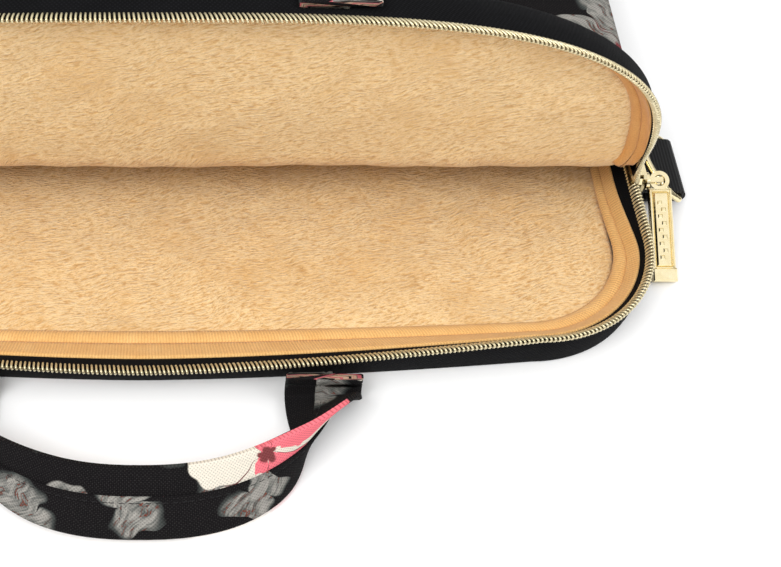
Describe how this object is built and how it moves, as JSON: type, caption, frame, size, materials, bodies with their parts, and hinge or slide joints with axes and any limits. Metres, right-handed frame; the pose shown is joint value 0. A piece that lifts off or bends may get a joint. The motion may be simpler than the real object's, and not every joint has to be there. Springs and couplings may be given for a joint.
{
  "type": "laptop sleeve",
  "caption": "Padded zip-around laptop sleeve with canvas panels, plush lining, fold-back mouth flap, strap handles, side rings and metal zip pulls.",
  "frame": {"origin": "centre of the back panel's outer face, on the table", "axes": "+X along the sleeve's width, -Y towards the zipped mouth, +Z from the back panel to the front panel"},
  "size_m": [0.3866, 0.3201, 0.1155],
  "materials": {
    "floral_canvas": "printed cotton canvas, coarse weave",
    "black_canvas": "matt canvas",
    "webbing": "ribbed webbing",
    "padding": "foam padding",
    "plush": "brushed pile",
    "lining": "suede-like",
    "ribbed_trim": "ribbed tape",
    "zip_tape": "woven tape",
    "zip_coil": "metallised coil",
    "gold_metal": "polished pale gold plating"
  },
  "bodies": {
    "shell": {"back_canvas": "floral_canvas", "back_foam": "padding", "back_plush": "plush", "front_canvas": "floral_canvas", "front_foam": "padding", "front_plush": "plush", "gusset_canvas": "black_canvas", "gusset_foam": "padding", "gusset_lining": "lining", "lower_binding": "ribbed_trim", "front_binding": "ribbed_trim", "lower_facing": "ribbed_trim", "lower_zip_tape": "zip_tape", "lower_zip_coil": "zip_coil", "zip_end_cover_right": "black_canvas", "zip_end_cover_left": "black_canvas", "side_tab_right": "webbing", "side_tab_left": "webbing", "back_handle_end_right": "floral_canvas", "back_handle_end_left": "floral_canvas"},
    "flap": {"flap_canvas": "floral_canvas", "flap_foam": "padding", "flap_plush": "plush", "flap_gusset_canvas": "black_canvas", "flap_gusset_foam": "padding", "flap_gusset_lining": "lining", "flap_binding": "ribbed_trim", "flap_facing": "ribbed_trim", "upper_zip_tape": "zip_tape", "upper_zip_coil": "zip_coil", "front_handle_end_right": "floral_canvas", "front_handle_end_left": "floral_canvas"},
    "back_handle": {"back_handle": "floral_canvas"},
    "front_handle": {"front_handle": "floral_canvas"},
    "slider_right": {"slider_right": "gold_metal"},
    "link_right": {"pull_link_right": "gold_metal"},
    "tag_right": {"pull_tag_right": "gold_metal"},
    "ring_right": {"d_ring_right": "gold_metal"},
    "slider_left": {"slider_left": "gold_metal"},
    "link_left": {"pull_link_left": "gold_metal"},
    "tag_left": {"pull_tag_left": "gold_metal"},
    "ring_left": {"d_ring_left": "gold_metal"}
  },
  "joints": [
    {"name": "flap_fold", "type": "hinge", "parent": "shell", "child": "flap", "pos_m": [0, -0.055, 0.036], "axis": [1, 0, 0], "range_deg": [0, 88]},
    {"name": "back_handle_lift", "type": "hinge", "parent": "shell", "child": "back_handle", "pos_m": [0, -0.134, 0.0036], "axis": [1, 0, 0], "range_deg": [-50, 0]},
    {"name": "front_handle_lift", "type": "hinge", "parent": "flap", "child": "front_handle", "pos_m": [0, -0.05776, 0.11495], "axis": [-1, 0, 0], "range_deg": [-165, 0]},
    {"name": "slider_run_right", "type": "slide", "parent": "shell", "child": "slider_right", "axis": [0, 1, 0], "range_m": [-0.034, 0]},
    {"name": "link_turn_right", "type": "hinge", "parent": "slider_right", "child": "link_right", "pos_m": [0.1798, -0.054, 0.018], "axis": [-1, 0, 0], "range_deg": [0, 95]},
    {"name": "tag_swing_right", "type": "hinge", "parent": "link_right", "child": "tag_right", "pos_m": [0.1798, -0.054, 0.018], "axis": [0, 0.4695, -0.8829], "range_deg": [-12, 0]},
    {"name": "ring_turn_right", "type": "hinge", "parent": "shell", "child": "ring_right", "pos_m": [0.1905, -0.0375, 0.0055], "axis": [0, 1, 0], "range_deg": [0, 150]},
    {"name": "slider_run_left", "type": "slide", "parent": "shell", "child": "slider_left", "axis": [0, 1, 0], "range_m": [-0.034, 0]},
    {"name": "link_turn_left", "type": "hinge", "parent": "slider_left", "child": "link_left", "pos_m": [-0.1798, -0.054, 0.018], "axis": [-1, 0, 0], "range_deg": [0, 95]},
    {"name": "tag_swing_left", "type": "hinge", "parent": "link_left", "child": "tag_left", "pos_m": [-0.1798, -0.054, 0.018], "axis": [0, -0.4695, 0.8829], "range_deg": [-12, 0]},
    {"name": "ring_turn_left", "type": "hinge", "parent": "shell", "child": "ring_left", "pos_m": [-0.1905, -0.0375, 0.0055], "axis": [0, -1, 0], "range_deg": [0, 150]}
  ]
}
